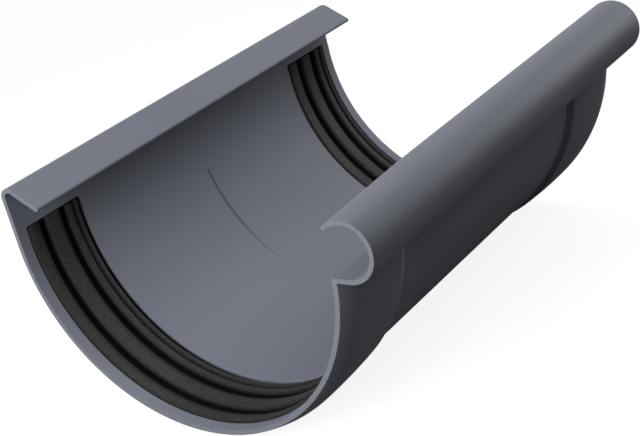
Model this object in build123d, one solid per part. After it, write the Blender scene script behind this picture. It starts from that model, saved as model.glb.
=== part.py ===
from build123d import *
from math import asin, atan2, cos, degrees, radians, sin, tan
import os

# Gutter connector: a half-round channel piece with two rubber seal strips.
# Built with X from rear to front, Y along the gutter, Z up and the channel axis on Y.
# It is turned about Y at the end, into the position in which it lies at rest.

# Driving dimensions
gutter_radius = 67.0
wall = 1.7
length = 196.0
seat_rise = 2.2

# Half-round channel
arc_end = 178.0
rear_lean = 3.5
inner_radius = gutter_radius - wall
seat_radius = gutter_radius + seat_rise

# Seal seats, one near each end, distances measured from mid-length
end_land = 4.6
pocket_width = 26.9
pocket_end = length / 2 - end_land
pocket_start = pocket_end - pocket_width
step_run = 3.8
step_rise = 1.5
seat_crown = 0.27
shoulder_run = 10.0
shoulder_crown = 0.51
seat_wall = 1.8
pocket_floor = seat_radius - seat_wall
crest_start = pocket_start - 2.3
crest_end = length / 2 - shoulder_run
seat_top_slope = 50.0
seat_top_z = 9.0
pocket_front_margin = 3.8
pocket_rear_end = 181.2

# Rear wall and its folded flange
flange_corner = 4.0
flange_slope = 30.0
flange_tip_x = -51.5
flange_tip_z = 11.53

# Front bead, its lip running out on a slightly larger radius
bead_radius = 10.5
bead_wall = 1.6
bead_x = 71.3
bead_z = 7.5
lip_radius = 11.5
lip_start = 80.0
lip_end = 126.0
bead_overlap = 1.0
bead_inner = bead_radius - bead_wall
lip_inner = lip_radius - bead_wall
bead_bottom = bead_z - bead_radius
bead_floor = bead_z - bead_inner

# Insertion mark at mid-length
mark_width = 0.9
mark_depth = 0.35
mark_from = 117.5
mark_to = 164.5

# Seal strip
strip_side_gap = 0.25
strip_end_gap = 0.4
strip_width = pocket_width - 2 * strip_side_gap
strip_base = 1.0
strip_height = 2.7
strip_rebate = 1.5
strip_groove = 2.45
inner_band = 6.3
middle_band = 7.7
outer_band = strip_width - strip_rebate - inner_band - middle_band - 2 * strip_groove
band_shoulder = 1.3

# Densities for the balance of the resting position, grams per cubic millimetre
body_density = 0.00110
strip_density = 0.00120


def on_circle(radius, angle, x=0.0, z=0.0):
    turn = radians(angle)
    return (x + radius * cos(turn), z + radius * sin(turn))


def polygon(*points):
    return make_face(Polyline(*points, close=True))


def ring(outline, start, sweep):
    return Rot(0, start, 0) * revolve(outline, Axis.Y, sweep)


def along(outline, reach):
    return extrude(Plane.XZ * outline, reach, both=True)


# Half-round shell with both seats bulging outward
half = length / 2
front_turn = degrees(asin(-bead_bottom / gutter_radius))
shell_start = front_turn - bead_overlap
shell_sweep = arc_end - shell_start
shell = ring(
    polygon((inner_radius, -half), (gutter_radius, -half), (gutter_radius, half), (inner_radius, half)),
    shell_start,
    shell_sweep,
)

# Seat outline as radius against length: a steep step, a crowned crest and a rounded shoulder
step_start = crest_start - step_run
step_top = gutter_radius + step_rise
crest_mid = ((step_top + seat_radius) / 2 + seat_crown, (crest_start + crest_end) / 2)
shoulder_mid = ((seat_radius + gutter_radius) / 2 + shoulder_crown, (crest_end + half) / 2)
bulge_root = gutter_radius - 0.5 * wall
bulge_edges = [
    Line((bulge_root, step_start), (gutter_radius, step_start)),
    Line((gutter_radius, step_start), (step_top, crest_start)),
    ThreePointArc((step_top, crest_start), crest_mid, (seat_radius, crest_end)),
    ThreePointArc((seat_radius, crest_end), shoulder_mid, (gutter_radius, half)),
    Line((gutter_radius, half), (bulge_root, half)),
    Line((bulge_root, half), (bulge_root, step_start)),
]
bulge_end = degrees(asin(seat_top_z / seat_radius)) + 180.0
bulge = ring(make_face(Curve() + bulge_edges), shell_start, bulge_end - shell_start)
foot = Vector(*on_circle(gutter_radius, -arc_end))
bulge_top = (foot.X - (seat_top_z - foot.Y) * tan(radians(rear_lean)), seat_top_z)
slope_run = 3 * seat_rise
bulge_trim = along(
    polygon(
        bulge_top,
        (bulge_top[0] - slope_run, bulge_top[1] - slope_run * tan(radians(seat_top_slope))),
        (bulge_top[0] - slope_run, bulge_top[1] + slope_run),
        (bulge_top[0], bulge_top[1] + slope_run),
    ),
    half,
)
bulge = bulge - bulge_trim

# Rear wall leaning outward on the tangent, rounded corner and flange folded inward
lean = radians(rear_lean)
fold = radians(flange_slope)
tip = Vector(flange_tip_x, flange_tip_z)
flange_normal = Vector(sin(fold), cos(fold))
wall_normal = Vector(-cos(lean), -sin(lean))
# Corner centre: at the corner radius inside both the wall line and the flange line
wall_offset = foot.dot(wall_normal) - flange_corner
flange_offset = tip.dot(flange_normal) - flange_corner
spread = wall_normal.X * flange_normal.Y - wall_normal.Y * flange_normal.X
corner = Vector(
    (wall_offset * flange_normal.Y - flange_offset * wall_normal.Y) / spread,
    (wall_normal.X * flange_offset - flange_normal.X * wall_offset) / spread,
)
corner_mid = (wall_normal + flange_normal).normalized()
corner_inner = flange_corner - wall
outer_a = corner + wall_normal * flange_corner
outer_b = corner + flange_normal * flange_corner
inner_a = corner + wall_normal * corner_inner
inner_b = corner + flange_normal * corner_inner
tip_inner = tip - flange_normal * wall
foot_inner = Vector(*on_circle(inner_radius, -arc_end))
rear_edges = [
    Line((foot.X, foot.Y), (outer_a.X, outer_a.Y)),
    ThreePointArc(
        (outer_a.X, outer_a.Y),
        ((corner + corner_mid * flange_corner).X, (corner + corner_mid * flange_corner).Y),
        (outer_b.X, outer_b.Y),
    ),
    Line((outer_b.X, outer_b.Y), (tip.X, tip.Y)),
    Line((tip.X, tip.Y), (tip_inner.X, tip_inner.Y)),
    Line((tip_inner.X, tip_inner.Y), (inner_b.X, inner_b.Y)),
    ThreePointArc(
        (inner_b.X, inner_b.Y),
        ((corner + corner_mid * corner_inner).X, (corner + corner_mid * corner_inner).Y),
        (inner_a.X, inner_a.Y),
    ),
    Line((inner_a.X, inner_a.Y), (foot_inner.X, foot_inner.Y)),
    Line((foot_inner.X, foot_inner.Y), (foot.X, foot.Y)),
]
rear_wall = along(make_face(Curve() + rear_edges), half)

# Front bead: flat bottom out of the wall top, round over, then the flatter run of the open lip
wall_top_x = inner_radius * cos(radians(front_turn))
lip_x, lip_z = on_circle(bead_radius - lip_radius, lip_start, bead_x, bead_z)
lip_middle = (lip_start + lip_end) / 2
run_outer = on_circle(bead_radius, lip_start, bead_x, bead_z)
run_inner = on_circle(bead_inner, lip_start, bead_x, bead_z)
tip_outer = on_circle(lip_radius, lip_end, lip_x, lip_z)
tip_under = on_circle(lip_inner, lip_end, lip_x, lip_z)
front_edges = [
    Line((wall_top_x, bead_bottom), (bead_x, bead_bottom)),
    ThreePointArc((bead_x, bead_bottom), (bead_x + bead_radius, bead_z), run_outer),
    ThreePointArc(run_outer, on_circle(lip_radius, lip_middle, lip_x, lip_z), tip_outer),
    Line(tip_outer, tip_under),
    ThreePointArc(tip_under, on_circle(lip_inner, lip_middle, lip_x, lip_z), run_inner),
    ThreePointArc(run_inner, (bead_x + bead_inner, bead_z), (bead_x, bead_floor)),
    Line((bead_x, bead_floor), (wall_top_x, bead_floor)),
    Line((wall_top_x, bead_floor), (wall_top_x, bead_bottom)),
]
front_bead = along(make_face(Curve() + front_edges), half)

# Pockets for the strips, cut from the inside down to the pocket floor
pocket_turn = front_turn + pocket_front_margin
pocket_sweep = pocket_rear_end - pocket_turn
pocket_outline = polygon(
    (inner_radius - wall, pocket_start),
    (pocket_floor, pocket_start),
    (pocket_floor, pocket_end),
    (inner_radius - wall, pocket_end),
)
pocket = ring(pocket_outline, pocket_turn, pocket_sweep)
both_ends = mirror(bulge, Plane.XZ) + bulge
both_pockets = mirror(pocket, Plane.XZ) + pocket

# Insertion mark, a shallow line pressed into the inside at mid-length
mark_outline = polygon(
    (inner_radius - wall, -mark_width / 2),
    (inner_radius + mark_depth, -mark_width / 2),
    (inner_radius + mark_depth, mark_width / 2),
    (inner_radius - wall, mark_width / 2),
)
mark = ring(mark_outline, mark_from, mark_to - mark_from)

body = shell + both_ends + rear_wall + front_bead - both_pockets - mark

# Seal strip: a thin base with three round-shouldered bands parted by two grooves.
# Both strips lie the same way round, so the rebate is on the side of positive Y.
strip_start = pocket_start + strip_side_gap
strip_finish = strip_start + strip_width
groove_floor = pocket_floor - strip_base
band_top = pocket_floor - strip_height
shoulder_floor = band_top + band_shoulder
shoulder_in = band_shoulder * (1 - sin(radians(45)))
band_starts = (
    strip_start + strip_rebate,
    strip_start + strip_rebate + inner_band + strip_groove,
    strip_finish - outer_band,
)
band_widths = (inner_band, middle_band, outer_band)
strip_edges = [Line((pocket_floor, strip_start), (groove_floor, strip_start))]
reached = strip_start
for low, width in zip(band_starts, band_widths):
    high = low + width
    low_mid = (band_top + shoulder_in, low + shoulder_in)
    high_mid = (band_top + shoulder_in, high - shoulder_in)
    strip_edges.append(Line((groove_floor, reached), (groove_floor, low)))
    strip_edges.append(Line((groove_floor, low), (shoulder_floor, low)))
    strip_edges.append(ThreePointArc((shoulder_floor, low), low_mid, (band_top, low + band_shoulder)))
    strip_edges.append(Line((band_top, low + band_shoulder), (band_top, high - band_shoulder)))
    strip_edges.append(ThreePointArc((band_top, high - band_shoulder), high_mid, (shoulder_floor, high)))
    strip_edges.append(Line((shoulder_floor, high), (groove_floor, high)))
    reached = high
strip_edges.append(Line((groove_floor, strip_finish), (pocket_floor, strip_finish)))
strip_edges.append(Line((pocket_floor, strip_finish), (pocket_floor, strip_start)))
strip_face = mirror(make_face(Curve() + strip_edges), Plane.XZ)
end_turn = degrees(strip_end_gap / pocket_floor)
strip_sweep = pocket_sweep - 2 * end_turn
strip_near = Rot(0, pocket_turn + end_turn, 0) * revolve(strip_face, Axis.Y, strip_sweep)
strip_far = Pos(0, pocket_start + pocket_end, 0) * strip_near

# Resting position: the piece rolls until its centre of mass hangs below the channel axis
body_mass = body.volume * body_density
strip_mass = strip_near.volume * strip_density
total_mass = body_mass + 2 * strip_mass
body_centre = body.center(CenterOf.MASS)
strip_centre = strip_near.center(CenterOf.MASS)
balance_x = (body_centre.X * body_mass + 2 * strip_centre.X * strip_mass) / total_mass
balance_z = (body_centre.Z * body_mass + 2 * strip_centre.Z * strip_mass) / total_mass
rest_turn = degrees(atan2(balance_x, -balance_z))

nodes = {"gutter_body": body, "seal_strip_near": strip_near, "seal_strip_far": strip_far}
turned = {name: Rot(0, rest_turn, 0) * solid for name, solid in nodes.items()}
boxes = [solid.bounding_box() for solid in turned.values()]
low_x = min(box.min.X for box in boxes)
high_x = max(box.max.X for box in boxes)
low_z = min(box.min.Z for box in boxes)
settle = Pos(-(low_x + high_x) / 2, 0, -low_z)

os.makedirs("parts", exist_ok=True)
for name, solid in turned.items():
    placed = settle * solid
    export_step(placed, f"parts/{name}.step")
    print(name, "volume", round(placed.volume, 1), "solids", len(placed.solids()))
print("rest turn", round(rest_turn, 3), "shift", settle.position)
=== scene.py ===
import bpy
import math
import numpy as np
from mathutils import Matrix, Vector


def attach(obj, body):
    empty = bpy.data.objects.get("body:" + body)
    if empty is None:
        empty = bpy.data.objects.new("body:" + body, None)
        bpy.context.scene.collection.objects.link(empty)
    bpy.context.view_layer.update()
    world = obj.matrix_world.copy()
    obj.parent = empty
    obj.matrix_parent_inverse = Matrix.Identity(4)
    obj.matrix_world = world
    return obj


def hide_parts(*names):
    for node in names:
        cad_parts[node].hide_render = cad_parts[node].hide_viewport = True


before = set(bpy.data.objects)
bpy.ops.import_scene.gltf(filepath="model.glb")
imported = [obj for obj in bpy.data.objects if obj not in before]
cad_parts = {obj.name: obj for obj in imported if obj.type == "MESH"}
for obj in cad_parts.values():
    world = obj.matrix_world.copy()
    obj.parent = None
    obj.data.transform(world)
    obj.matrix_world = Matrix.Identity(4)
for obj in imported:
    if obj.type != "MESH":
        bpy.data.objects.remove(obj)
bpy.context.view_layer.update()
print("frame loaded:", ", ".join(sorted(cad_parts)))

# the pieces are drawn about the channel axis in millimetres, X from rear to front, Y along the gutter,
# then turned about Y and set on the floor as the part lies at rest; angles are in degrees
rest = {"turn": 2.491, "shiftX": -6.4127, "shiftZ": 69.2333}
sharpFrom = 38.0  # faces that meet at more than this keep a sharp edge


def toRow(points):
    # x' = x cos + z sin, z' = z cos - x sin, then the shift, then millimetres to metres
    turn = math.radians(rest["turn"])
    x, y, z = points[..., 0], points[..., 1], points[..., 2]
    across = x * math.cos(turn) + z * math.sin(turn) + rest["shiftX"]
    up = z * math.cos(turn) - x * math.sin(turn) + rest["shiftZ"]
    return np.stack([across, y, up], -1) / 1000


def meshPiece(name, points, faces, shade, material, cadNode):
    mesh = bpy.data.meshes.new(name)
    mesh.from_pydata(toRow(points.reshape(-1, 3)).tolist(), [], faces)
    mesh.polygons.foreach_set("use_smooth", np.ones(len(mesh.polygons), bool))
    mesh.set_sharp_from_angle(angle=math.radians(sharpFrom))
    mesh.attributes.new("shade", "FLOAT", "POINT").data.foreach_set("value", shade.ravel())
    mesh.update()
    piece = bpy.data.objects.new(name, mesh)
    bpy.context.scene.collection.objects.link(piece)
    piece.data.materials.append(material)
    weigh = piece.modifiers.new("evenNormals", "WEIGHTED_NORMAL")
    weigh.keep_sharp = True
    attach(piece, "root")
    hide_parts(cadNode)
    return piece


# one wrapped socket: sums, differences and products of it add Math nodes
class Wire:
    def __init__(self, tree, socket=None):
        self.tree = tree
        self.socket = socket

    def node(self, kind, settings=None, inputs=None, output=0):
        made = self.tree.nodes.new(kind)
        for key, value in (settings or {}).items():
            setattr(made, key, value)
        for key, value in (inputs or {}).items():
            if isinstance(value, Wire):
                self.tree.links.new(value.socket, made.inputs[key])
            else:
                made.inputs[key].default_value = value
        return Wire(self.tree, made.outputs[output])

    def feed(self, socket):
        self.tree.links.new(self.socket, socket)

    def maths(self, operation, first, second):
        return self.node("ShaderNodeMath", {"operation": operation}, {0: first, 1: second})

    def __add__(self, other):
        return self.maths("ADD", self, other)

    def __radd__(self, other):
        return self.maths("ADD", other, self)

    def __sub__(self, other):
        return self.maths("SUBTRACT", self, other)

    def __rsub__(self, other):
        return self.maths("SUBTRACT", other, self)

    def __mul__(self, other):
        return self.maths("MULTIPLY", self, other)

    def __rmul__(self, other):
        return self.maths("MULTIPLY", other, self)


def newMaterial(name):
    material = bpy.data.materials.new(name)
    material.use_nodes = True
    tree = material.node_tree
    return material, Wire(tree), tree.nodes["Principled BSDF"]


def noise(start, place, scale, detail=2.0, roughness=0.5):
    inputs = {"Vector": place, "Scale": scale, "Detail": detail, "Roughness": roughness}
    return start.node("ShaderNodeTexNoise", {}, inputs)


def stretched(start, place, factors):
    # place times one factor for each axis, which draws a noise out into streaks
    return start.node("ShaderNodeVectorMath", {"operation": "MULTIPLY"}, {0: place, 1: factors})


def mixColours(start, factor, first, second):
    return start.node("ShaderNodeMix", {"data_type": "RGBA"}, {0: factor, 6: first, 7: second}, 2)


def meshShade(start):
    # the share of painted shade, a dark colour that the mesh carries, 0 to 1
    return start.node("ShaderNodeAttribute", {"attribute_name": "shade"}, {}, "Fac")


# moulded anthracite plastic; colours are linear, grainDepth is in metres; the mark's dark colour is painted
# shade along the shallow insertion mark
plasticLook = {"base": (0.156, 0.165, 0.195, 1), "cloud": (0.142, 0.150, 0.179, 1),
               "mark": (0.060, 0.064, 0.078, 1), "specular": 0.12, "tint": (0.65, 0.76, 1.0, 1),
               "cloudScale": 14.0, "cloudDetail": 3.0, "grainScale": 1400.0,
               "flowScale": 3.0, "flowStretch": (60.0, 6.0, 60.0),
               "roughness": 0.47, "cloudRough": 0.06, "flowRough": 0.04,
               "grainDepth": 0.00002, "flowHeight": 0.6, "bumpStrength": 0.35}


def makePlastic(look=plasticLook):
    # soft clouds of a darker tone, a fine grain, faint flow streaks along the gutter, and painted shade along
    # the insertion mark
    material, start, shader = newMaterial("mouldedPlastic")
    shader.inputs["Specular IOR Level"].default_value = look["specular"]
    shader.inputs["Specular Tint"].default_value = look["tint"]
    place = start.node("ShaderNodeTexCoord", {}, {}, "Object")
    cloud = noise(start, place, look["cloudScale"], look["cloudDetail"])
    grain = noise(start, place, look["grainScale"])
    flow = noise(start, stretched(start, place, look["flowStretch"]), look["flowScale"])
    colour = mixColours(start, cloud, look["base"], look["cloud"])
    # painted shade: the mesh's shade share mixes in the dark colour along the insertion mark
    mixColours(start, meshShade(start), colour, look["mark"]).feed(shader.inputs["Base Color"])
    rough = look["roughness"] + look["cloudRough"] * cloud + look["flowRough"] * flow
    rough.feed(shader.inputs["Roughness"])
    height = grain + look["flowHeight"] * flow
    bump = {"Height": height, "Strength": look["bumpStrength"], "Distance": look["grainDepth"]}
    start.node("ShaderNodeBump", {}, bump).feed(shader.inputs["Normal"])
    return material


# black seal rubber with fine lines left by the die; colours are linear, lineDepth is in metres; the groove
# colour is painted shade in the grooves and down the sides of the bands
rubberLook = {"base": (0.017, 0.0176, 0.0168, 1), "dust": (0.047, 0.049, 0.046, 1),
              "groove": (0.0015, 0.0015, 0.0018, 1), "specular": 0.06,
              "lineScale": 1600.0, "lineStretch": (0.004, 1.0, 0.004), "lineGrain": 0.6,
              "patchScale": 45.0, "patchDetail": 3.0, "speckScale": 1500.0, "speckGrain": 0.7,
              "lineDust": 0.25, "patchDust": 0.2, "speckDust": 2.4, "speckFrom": 0.42,
              "roughness": 0.42, "patchRough": 0.10, "lineRough": 0.06, "grooveRough": 0.35,
              "lineDepth": 0.00004, "speckHeight": 0.4, "bumpStrength": 0.5}


def makeRubber(look=rubberLook):
    # dust share = line, patch and speck noises weighed and added; grooves and band sides get painted shade, a
    # darker colour, and are rougher
    material, start, shader = newMaterial("sealRubber")
    shader.inputs["Specular IOR Level"].default_value = look["specular"]
    place = start.node("ShaderNodeTexCoord", {}, {}, "Object")
    drawn = stretched(start, place, look["lineStretch"])
    lines = noise(start, drawn, look["lineScale"], roughness=look["lineGrain"])
    patches = noise(start, place, look["patchScale"], look["patchDetail"])
    specks = noise(start, place, look["speckScale"], roughness=look["speckGrain"])
    shade = meshShade(start)
    dust = look["lineDust"] * lines + look["patchDust"] * patches
    dust = dust + look["speckDust"] * (specks - look["speckFrom"])
    colour = mixColours(start, dust, look["base"], look["dust"])
    # painted shade: the groove colour where the mesh's shade share is high
    mixColours(start, shade, colour, look["groove"]).feed(shader.inputs["Base Color"])
    rough = look["roughness"] + look["patchRough"] * patches + look["lineRough"] * lines
    rough = rough + look["grooveRough"] * shade
    rough.feed(shader.inputs["Roughness"])
    height = lines + look["speckHeight"] * specks
    bump = {"Height": height, "Strength": look["bumpStrength"], "Distance": look["lineDepth"]}
    start.node("ShaderNodeBump", {}, bump).feed(shader.inputs["Normal"])
    return material


plastic = makePlastic()
rubber = makeRubber()
print("materials made")

# the moulded body, millimetres and degrees round the channel from the front; angles round the bead from +X
shellSize = {"radius": 67.0, "wall": 1.7, "half": 98.0, "arcEnd": 178.0, "lean": 3.5,
             "stepStart": 60.4, "crestStart": 64.2, "crestEnd": 88.0, "stepRise": 1.5, "seatRise": 2.2,
             "crestCrown": 0.27, "shoulderCrown": 0.51, "seatBlur": 0.4,
             "seatTopZ": 9.0, "seatTopSlope": 50.0,
             "pocketStart": 66.5, "pocketEnd": 93.4, "pocketFloor": 67.4,
             "pocketFront": 6.4, "pocketRear": 181.2,
             "cornerRadius": 4.0, "flangeSlope": 30.0, "tipX": -51.5, "tipZ": 11.53,
             "channelEnd": 2.4, "beadX": 71.3, "beadZ": 7.5, "beadRadius": 10.5, "beadWall": 1.6,
             "lipRadius": 11.5, "lipStart": 80.0, "lipEnd": 126.0,
             "lipTuck": 1.15, "tuckRun": 50.0, "tuckStart": 60.0, "tuckRunPower": 1.2, "tuckTurnPower": 1.3,
             "markDepth": 0.15, "markFrom": 117.5, "markTo": 164.5, "markFade": 26.0, "markStop": 0.8,
             "edgeRound": 0.15, "lipRound": 0.5, "flangeRound": 0.8, "notchRound": 0.6, "floorRound": 0.35}


def pair(first, second):
    # two arrays side by side as the last axis of one
    return np.stack(np.broadcast_arrays(first, second), -1)


def spokes(turn):
    # cos and sin of turns in degrees
    return pair(np.cos(np.radians(turn)), np.sin(np.radians(turn)))


def forEach(y, line):
    # the same line at every place along the length
    return np.repeat(line[None], len(y), 0)


def rearFoot(size=shellSize):
    # where the half circle turns into the leaning rear wall
    return spokes(size["arcEnd"]) * (size["radius"], -size["radius"])


def nose(outer, inner, forward, radius, count=5):
    # rounded square end for every row: a quarter arc off the outer line, a quarter arc onto the inner line
    across = (inner - outer) / np.linalg.norm(inner - outer, axis=-1, keepdims=True)
    outer, inner, across = outer[..., None, :], inner[..., None, :], across[..., None, :]
    turn = spokes(np.linspace(0, 90, count))
    back, ahead = radius * (1 - turn[:, :1]), radius * turn[:, 1:]
    first = outer + across * back + forward * ahead
    second = inner - across * back[::-1] + forward * ahead[::-1]
    return np.concatenate([first[..., 1:, :], second[..., :-1, :]], -2)


def seatRadius(y, size=shellSize):
    # a straight step, a crowned crest, a rounded shoulder: line plus 4 crown t (1 - t),
    # each the mean over a short run of the length
    place = np.abs(y)[None] + np.linspace(-size["seatBlur"], size["seatBlur"], 9)[:, None]
    crest = np.clip((place - size["crestStart"]) / (size["crestEnd"] - size["crestStart"]), 0, 1)
    fall = np.maximum((place - size["crestEnd"]) / (size["half"] - size["crestEnd"]), 0)
    rise = np.interp(place, [size["stepStart"], size["crestStart"]], [0, size["stepRise"]])
    rise = rise + crest * (size["seatRise"] - size["stepRise"]) + 4 * size["crestCrown"] * crest * (1 - crest)
    rise = rise - fall * size["seatRise"] + 4 * size["shoulderCrown"] * fall * (1 - fall)
    return size["radius"] + rise.mean(0)


def stations(size=shellSize):
    # places along the length, close together where the surface bends, and how far the rounded end is set in:
    # edgeRound times 1 - cos at half - edgeRound (1 - sin)
    step, crest, low, high = size["stepStart"], size["crestStart"], size["pocketStart"], size["pocketEnd"]
    plain = [0, 0.12, 0.2, 0.28, 0.4, 0.6, 1.2, 5, 20, 40, 55, 59]  # over the mark and the plain channel
    plain += [step + shift for shift in (-0.7, -0.4, -0.2, 0, 0.2, 0.4, 0.7, 1.4, 2.4)]
    plain += [crest + shift for shift in (-0.7, -0.4, -0.2, 0, 0.2, 0.4, 0.7, 1.4)]
    plain += [low + shift for shift in (-0.3, -0.12, -0.04, -0.01, 0, 0.4, 1.2, 3, 6, 9, 12, 15, 18)]
    plain += [86, 87, 87.6, 88, 88.5, 89.2, 90, 91, 92, 92.8, 93.2]  # over the end of the crest
    plain += [high + shift for shift in (0, 0.01, 0.04, 0.12, 0.3, 0.9, 1.8, 2.7, 3.5, 4.1)]
    turn = spokes([0, 22.5, 45, 67.5, 90])
    ends = size["half"] - size["edgeRound"] * (1 - turn[:, 1])
    values = np.concatenate([plain, ends])
    insets = np.concatenate([np.zeros(len(plain)), size["edgeRound"] * (1 - turn[:, 0])])
    return np.concatenate([-values[:0:-1], values]), np.concatenate([insets[:0:-1], insets])


def flangePart(size=shellSize):
    # the flange as shares of the way from its edge to the corner, the corner's arc,
    # and the height at which the wall begins
    wallNormal = -spokes(size["lean"])
    flangeNormal = spokes(90 - size["flangeSlope"])
    along = spokes(-size["flangeSlope"])
    tip = np.array([size["tipX"], size["tipZ"]])
    # corner centre, one corner radius inside the wall line and the flange line
    offsets = np.array([rearFoot() @ wallNormal, tip @ flangeNormal]) - size["cornerRadius"]
    corner = np.linalg.solve(np.stack([wallNormal, flangeNormal]), offsets)
    big, small = size["cornerRadius"], size["cornerRadius"] - size["wall"]
    edge = tip - along * size["flangeRound"]
    share = np.array([0, 0.04, 0.12, 0.3, 0.5, 0.7, 0.88, 0.96])[:, None]
    flangeOut = edge + share * (corner + flangeNormal * big - edge)
    flangeIn = flangeOut - flangeNormal * size["wall"]
    ring = spokes(np.linspace(90 - size["flangeSlope"], 180 + size["lean"], 15))
    outer = np.concatenate([flangeOut, corner + ring * big])
    inner = np.concatenate([flangeIn, corner + ring * small])
    return outer, inner, (corner + wallNormal * big)[1]


def wallPart(crest, topZ, size=shellSize):
    # the leaning wall down to the foot; a seat swells out of it below a sloping top,
    # x = the lesser of the wall's x and the greater of the seat circle's x and the slope's x;
    # levels are heights above the channel axis, close together at the rear end of the pocket
    levels = [12.6, 11.4, 10.2, 9.2, 8.6, 8.0, 7.4, 6.8, 6.2, 5.6, 4.8]
    levels += [3.9, 2.8, 1.9, 1.5, 1.39, 1.35, 1.2, 0.4, -1.0, -2.0]
    levels = np.array([level for level in levels if level < topZ - 0.3])
    foot = rearFoot()
    footIn = foot * (size["radius"] - size["wall"]) / size["radius"]
    lean = math.tan(math.radians(size["lean"]))
    swell = -np.sqrt(np.maximum(crest[:, None] ** 2 - levels ** 2, 0))
    topX = foot[0] - (size["seatTopZ"] - foot[1]) * lean
    slope = topX - (size["seatTopZ"] - levels) / math.tan(math.radians(size["seatTopSlope"]))
    wallX = foot[0] - (levels - foot[1]) * lean
    outer = pair(np.minimum(wallX, np.maximum(swell, slope)), levels)
    return outer, forEach(crest, pair(footIn[0] - (levels - footIn[1]) * lean, levels))


def channelPart(crest, size=shellSize):
    # half circle from the rear foot to the notch under the bead, x = r cos, z = -r sin;
    # steps are shares of the way round, close together where the pocket ends at the front
    steps = np.concatenate([[0.0], np.linspace(0.01, 0.975, 150), [0.9785, 0.9787, 0.985, 0.992]])
    notchZ = size["beadZ"] - size["beadRadius"] - size["notchRound"]
    lowEnd = np.degrees(np.arcsin(-notchZ / crest))[:, None]
    outTurn = size["arcEnd"] + steps * (lowEnd - size["arcEnd"])
    inTurn = size["arcEnd"] + steps * (size["channelEnd"] - size["arcEnd"])
    # two of the inner points move close to the front end of the pocket, one to each side
    front = np.searchsorted(-inTurn, -size["pocketFront"])
    inTurn[front - 1:front + 1] = size["pocketFront"] + 0.02, size["pocketFront"] - 0.02
    inside = size["radius"] - size["wall"]
    return crest[:, None, None] * spokes(outTurn) * (1, -1), forEach(crest, inside * spokes(inTurn) * (1, -1))


def notchPart(crest, size=shellSize):
    # quarter arcs, concave outside and convex inside, where the wall turns into the bead's floor,
    # then the floor as shares of the way to the bead's lowest point
    notch, fillet = size["notchRound"], size["floorRound"]
    lowOut = size["beadZ"] - size["beadRadius"]
    lowIn = lowOut + size["beadWall"]
    bend = spokes(np.linspace(180, 90, 7)[1:])
    share = np.array([0.2, 0.5, 0.8])
    startOut = np.sqrt(crest ** 2 - (lowOut - notch) ** 2)[:, None] + notch
    startIn = (size["radius"] - size["wall"]) * math.cos(math.radians(size["channelEnd"])) + fillet
    outX = np.concatenate([startOut + notch * bend[:, 0], startOut + share * (size["beadX"] - startOut)], 1)
    outZ = np.concatenate([lowOut - notch + notch * bend[:, 1], [lowOut] * len(share)])
    inX = np.concatenate([startIn + fillet * bend[:, 0], startIn + share * (size["beadX"] - startIn)])
    inZ = np.concatenate([lowIn - fillet + fillet * bend[:, 1], [lowIn] * len(share)])
    return pair(outX, outZ), forEach(crest, pair(inX, inZ))


def beadPart(y, size=shellSize):
    # two arcs, the bead and its lip; the lip is tucked in towards the near end,
    # by the share of the way to the end times the share of the way round to the lip
    bead = np.array([size["beadX"], size["beadZ"]])
    lipBack = math.degrees(size["lipRound"] / size["lipRadius"])
    roll = np.linspace(-90, size["lipStart"], 68)
    curl = np.linspace(size["lipStart"], size["lipEnd"] - lipBack, 17)[1:]
    lipCentre = bead + spokes(size["lipStart"]) * (size["beadRadius"] - size["lipRadius"])
    sides = []
    for wall in (0, size["beadWall"]):
        rollLine = bead + spokes(roll) * (size["beadRadius"] - wall)
        curlLine = lipCentre + spokes(curl) * (size["lipRadius"] - wall)
        sides.append(np.concatenate([rollLine, curlLine]))
    turn = np.concatenate([roll, curl])
    reached = np.clip((size["tuckRun"] - size["half"] - y) / size["tuckRun"], 0, 1) ** size["tuckRunPower"]
    turned = np.clip((turn - size["tuckStart"]) / (size["lipEnd"] - size["tuckStart"]), 0, 1)
    shift = reached[:, None, None] * (turned ** size["tuckTurnPower"])[:, None] * spokes(turn) * size["lipTuck"]
    return sides[0] - shift, sides[1] - shift


def cutInside(inner, y, size=shellSize):
    # pushes the inner line out to the pocket floor, and presses the mark, both measured round the axis; the
    # mark's share also carries its painted shade
    reach = np.hypot(inner[..., 0], inner[..., 1])
    turn = np.degrees(np.arctan2(-inner[..., 1], inner[..., 0])) % 360
    place, low, high = np.abs(y), size["pocketStart"], size["pocketEnd"]
    # the pocket's brinks are rounded: this far from one the line has dropped by this share of the depth
    brink, drop = np.array([0.3, 0.12, 0.04, 0.01]), np.array([0, 0.01, 0.035, 0.07])
    ends = np.concatenate([low - brink, [low, high], high + brink[::-1]])
    lengthShare = np.interp(place, ends, np.concatenate([drop, [1, 1], drop[::-1]]))
    front, rear = size["pocketFront"], size["pocketRear"]
    turnShare = np.interp(turn, [front - 0.01, front + 0.01, rear - 0.01, rear + 0.01], [0, 1, 1, 0])
    bent = reach + lengthShare[:, None] * turnShare * (size["pocketFloor"] - reach)
    fade = np.interp(turn, [size["markFrom"], size["markFrom"] + size["markFade"],
                            size["markTo"] - size["markStop"], size["markTo"]], [0, 1, 1, 0])
    mark = np.interp(place, [0, 0.4, 0.6], [1, 0.9, 0])[:, None] * fade
    return inner * ((bent + mark * size["markDepth"]) / reach)[..., None], mark


def shellSection(y):
    # outer line, inner line and share of the mark, which carries its painted shade, for every place y, from the
    # flange's edge round to the lip
    crest = seatRadius(y)
    flangeOut, flangeIn, topZ = flangePart()
    (wallOut, wallIn), (channelOut, channelIn) = wallPart(crest, topZ), channelPart(crest)
    (notchOut, notchIn), (beadOut, beadIn) = notchPart(crest), beadPart(y)
    inside, mark = cutInside(np.concatenate([wallIn, channelIn], 1), y)
    outer = np.concatenate([forEach(y, flangeOut), wallOut, channelOut, notchOut, beadOut], 1)
    inner = np.concatenate([forEach(y, flangeIn), inside, notchIn, beadIn], 1)
    return outer, inner, np.pad(mark, ((0, 0), (len(flangeIn), notchIn.shape[1] + beadIn.shape[1])))


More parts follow.
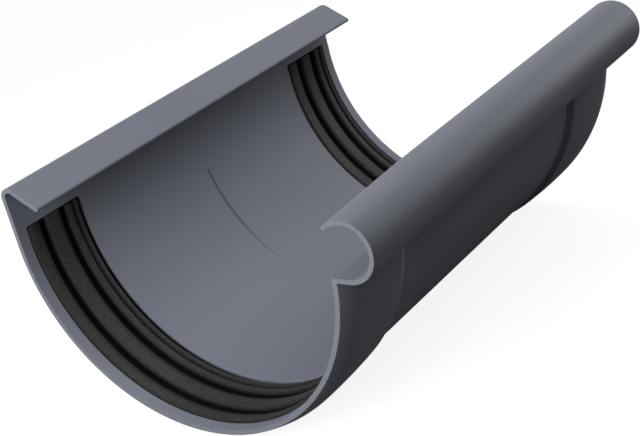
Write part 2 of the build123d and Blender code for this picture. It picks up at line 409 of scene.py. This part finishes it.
def makeShell(size=shellSize):
    y, inset = stations()
    outer, inner, mark = shellSection(y)
    lip = nose(outer[:, -1], inner[:, -1], spokes(size["lipEnd"] + 90), size["lipRound"])
    edge = nose(inner[0, 0], outer[0, 0], spokes(-size["flangeSlope"]), size["flangeRound"])
    loop = np.concatenate([outer, lip, inner[:, ::-1], forEach(y, edge)], 1)
    # inset of the rounded ends, along the inward normal of the closed loop
    tangent = np.roll(loop, -1, 1) - np.roll(loop, 1, 1)
    tangent /= np.linalg.norm(tangent, axis=-1, keepdims=True)
    loop = loop + pair(-tangent[..., 1], tangent[..., 0]) * inset[:, None, None]
    rows, wide = loop.shape[:2]
    points = np.stack(np.broadcast_arrays(loop[..., 0], y[:, None], loop[..., 1]), -1)
    count, lipCount, edgeCount = outer.shape[1], lip.shape[1], len(edge)
    # painted shade: zero everywhere but along the insertion mark, where it is the mark's share
    shade = np.zeros((rows, wide))
    shade[:, count + lipCount:wide - edgeCount] = mark[:, ::-1]
    index = np.arange(rows * wide).reshape(rows, wide)
    after = np.roll(index, -1, 1)
    faces = np.stack([index[:-1], after[:-1], after[1:], index[1:]], -1).reshape(-1, 4).tolist()
    # both end faces: quads across the wall, and one face in each nose
    out = np.arange(count)
    into = 2 * count + lipCount - 1 - out
    for row, flip in ((0, 1), (rows - 1, -1)):
        start = row * wide
        across = np.stack([out[:-1], into[:-1], into[1:], out[1:]], -1) + start
        lipFace = (np.arange(count - 1, count + lipCount + 1) + start)[::-1]
        edgeFace = (np.append(np.arange(wide - edgeCount - 1, wide), 0) + start)[::-1]
        faces += across[:, ::flip].tolist() + [lipFace[::flip].tolist(), edgeFace[::flip].tolist()]
    return meshPiece("gutterShell", points, faces, shade, plastic, "gutter_body")


shell = makeShell()
print("body made:", len(shell.data.polygons), "faces")

# the seal strips, millimetres; both lie the same way round, bands listed from the near side to the far side
stripSize = {"floor": 67.4, "base": 1.0, "height": 2.7, "sideGap": 0.25, "endGap": 0.34,
             "nearSide": (1.0, 1.2), "farSide": (3.4, 1.65), "foot": 0.1,
             "valleyAt": 0.58, "valleyDepth": 0.9, "valleyWide": 0.75, "leastFoot": 0.05,
             "darkPower": 0.55, "steps": 160}
stripBands = {"sealStripNear": {"node": "seal_strip_near", "start": -93.15, "bands": (6.0, 7.7, 6.3),
                                "groove": 2.45},
              "sealStripFar": {"node": "seal_strip_far", "start": 66.75, "bands": (6.8, 7.2, 6.6),
                               "groove": 2.6}}


def stripProfile(values, size=stripSize):
    # closed outline of radius against length: flat back, then for each band an elliptic shoulder, the top,
    # a longer shoulder and a groove; the last band has a valley of depth exp(-(distance / width)^2) in its top
    low, top, foot = size["floor"] - size["base"], size["floor"] - size["height"], size["foot"]
    turn = spokes(np.linspace(0, 90, 10))
    cos, sin = turn[:, 0], turn[:, 1]
    wide, high = size["nearSide"]
    place = values["start"]
    line = [[size["floor"], place]]
    for number, band in enumerate(values["bands"]):
        last = number == len(values["bands"]) - 1
        wideEnd, highEnd = size["nearSide"] if last else size["farSide"]
        end = place + band
        across = place + wide + np.linspace(0, 1, 25)[1:-1] * (band - wide - wideEnd)
        away = (across - place - size["valleyAt"] * band) / size["valleyWide"]
        if number:
            line += pair(low - foot + foot * cos, place - foot + foot * sin).tolist()
        line += pair(top + high - high * sin, place + wide - wide * cos).tolist()
        line += pair(top + last * size["valleyDepth"] * np.exp(-away ** 2), across).tolist()
        line += pair(top + highEnd - highEnd * cos, end - wideEnd + wideEnd * sin).tolist()
        line += pair(low - foot + foot * sin, end + foot - foot * cos).tolist()
        place = end + values["groove"]
    finish = values["start"] + shellSize["pocketEnd"] - shellSize["pocketStart"] - 2 * size["sideGap"]
    if finish > line[-1][1] + size["leastFoot"]:
        line.append([low, finish])
    line.append([size["floor"], line[-1][1]])
    return np.array(line)


def makeStrip(name, values, size=stripSize):
    # the outline carried round the channel axis: x = r cos, z = -r sin
    r, y = stripProfile(values).T
    first, last = shellSize["pocketFront"] + size["endGap"], shellSize["pocketRear"] - size["endGap"]
    turn = spokes(np.linspace(first, last, size["steps"]))
    x, z = turn[:, :1] * r, -turn[:, 1:] * r
    points = np.stack(np.broadcast_arrays(x, y, z), -1)
    index = np.arange(x.size).reshape(x.shape)
    after = np.roll(index, -1, 1)
    faces = np.stack([index[:-1], index[1:], after[1:], after[:-1]], -1).reshape(-1, 4).tolist()
    faces += [index[0].tolist(), index[-1][::-1].tolist()]
    # painted shade, darker down the sides of the bands and in the grooves: depth share to a power
    depth = (r - size["floor"] + size["height"]) / (size["height"] - size["base"])
    shade = forEach(turn, np.clip(depth, 0, 1) ** size["darkPower"])
    return meshPiece(name, points, faces, shade, rubber, values["node"])


strips = [makeStrip(name, values) for name, values in stripBands.items()]
print("seal strips made:", sum(len(strip.data.polygons) for strip in strips), "faces")

# studio: floor, white background, soft lamps; the floor is floorColour for the light on the object,
# and seenColour with seenGlow added for the camera
studio = {"floorSize": 3.0, "floorDrop": 0.0003, "floorColour": (0.17, 0.17, 0.17, 1),
          "seenColour": (0.25, 0.25, 0.25, 1), "seenGlow": 0.88, "worldColour": (0.0, 0.0, 0.0, 1),
          "aim": (0.0, 0.0, 0.04)}
# a lamp is named by where it stands, place and size in metres, power in watts
lamps = {"lowFront": {"place": (0.00, -0.45, 0.22), "size": 0.25, "power": 2.68},
         "rightBack": {"place": (0.54, 1.49, 0.26), "size": 0.8, "power": 11.5},
         "overBack": {"place": (0.00, 0.20, 0.40), "size": 0.25, "power": 0.784},
         "highRight": {"place": (0.80, 0.80, 1.17), "size": 0.8, "power": 4.91},
         "rearFill": {"place": (-1.50, 0.40, 0.45), "size": 0.8, "power": 6.0}}


def shownRays(start, kinds):
    # 1 for any of the kinds of ray that are to see the white background
    shown = start.node("ShaderNodeLightPath", {}, {}, kinds[0])
    for kind in kinds[1:]:
        shown = start.maths("MAXIMUM", shown, start.node("ShaderNodeLightPath", {}, {}, kind))
    return shown


def makeFloor():
    reach, low = studio["floorSize"], -studio["floorDrop"]
    corners = [(-reach, -reach, low), (reach, -reach, low), (reach, reach, low), (-reach, reach, low)]
    mesh = bpy.data.meshes.new("floor")
    mesh.from_pydata(corners, [], [(0, 1, 2, 3)])
    floor = bpy.data.objects.new("floor", mesh)
    bpy.context.scene.collection.objects.link(floor)
    material, start, _ = newMaterial("paleFloor")
    shown = shownRays(start, ("Is Camera Ray", "Is Transmission Ray"))
    plain = start.node("ShaderNodeBsdfDiffuse", {}, {"Color": studio["floorColour"]})
    pale = start.node("ShaderNodeBsdfDiffuse", {}, {"Color": studio["seenColour"]})
    glow = start.node("ShaderNodeEmission", {}, {"Color": (1, 1, 1, 1), "Strength": studio["seenGlow"]})
    seen = start.node("ShaderNodeAddShader", {}, {0: pale, 1: glow})
    mixed = start.node("ShaderNodeMixShader", {}, {0: shown, 1: plain, 2: seen})
    mixed.feed(start.tree.nodes["Material Output"].inputs["Surface"])
    floor.data.materials.append(material)


def makeWorld():
    world = bpy.data.worlds.new("studioWorld")
    bpy.context.scene.world = world
    world.use_nodes = True
    air = Wire(world.node_tree)
    dim = air.node("ShaderNodeBackground", {}, {"Color": studio["worldColour"], "Strength": 1.0})
    white = air.node("ShaderNodeBackground", {}, {"Color": (1, 1, 1, 1), "Strength": 1.0})
    shown = shownRays(air, ("Is Camera Ray", "Is Glossy Ray", "Is Transmission Ray"))
    mixed = air.node("ShaderNodeMixShader", {}, {0: shown, 1: dim, 2: white})
    mixed.feed(air.tree.nodes["World Output"].inputs["Surface"])


def makeLamp(name, values):
    # a square soft box aimed just above the floor's middle
    place = Vector(values["place"])
    lamp = bpy.data.lights.new(name, "AREA")
    lamp.shape = "SQUARE"
    lamp.size = values["size"]
    lamp.energy = values["power"]
    thing = bpy.data.objects.new(name, lamp)
    bpy.context.scene.collection.objects.link(thing)
    thing.location = place
    thing.rotation_mode = "QUATERNION"
    thing.rotation_quaternion = (place - Vector(studio["aim"])).to_track_quat("Z", "Y")


makeFloor()
makeWorld()
for name, values in lamps.items():
    makeLamp(name, values)
print("studio made:", len(lamps), "lamps")

# camera at the photograph's place, in the pieces' own frame: place in millimetres,
# turn as an axis times radians, lens and sensor in millimetres, clip in metres
cameraSize = {"place": (292.57, -381.84, 171.70), "turn": (1.96258, 0.46299, -0.57169),
              "lens": 78.125, "sensor": 36.0, "clip": (0.02, 20.0)}


def makeCamera():
    turn = np.array(cameraSize["turn"])
    angle = np.linalg.norm(turn)
    k = turn / angle
    cross = np.array([[0, -k[2], k[1]], [k[2], 0, -k[0]], [-k[1], k[0], 0]])
    axes = np.eye(3) + math.sin(angle) * cross + (1 - math.cos(angle)) * cross @ cross
    # rows are the camera's right, down and forward; the same turn about Y as the pieces have
    lay = math.radians(rest["turn"])
    turnY = np.array([[math.cos(lay), 0, math.sin(lay)], [0, 1, 0], [-math.sin(lay), 0, math.cos(lay)]])
    right, up, back = turnY @ axes[0], turnY @ -axes[1], turnY @ -axes[2]
    place = toRow(np.array(cameraSize["place"]))
    data = bpy.data.cameras.new("camera")
    data.lens = cameraSize["lens"]
    data.sensor_width = cameraSize["sensor"]
    data.clip_start, data.clip_end = cameraSize["clip"]
    camera = bpy.data.objects.new("camera", data)
    bpy.context.scene.collection.objects.link(camera)
    camera.matrix_world = Matrix([[*c] for c in np.column_stack([right, up, back, place])] + [[0, 0, 0, 1]])
    bpy.context.scene.camera = camera


makeCamera()
bpy.context.scene.view_settings.view_transform = "Standard"
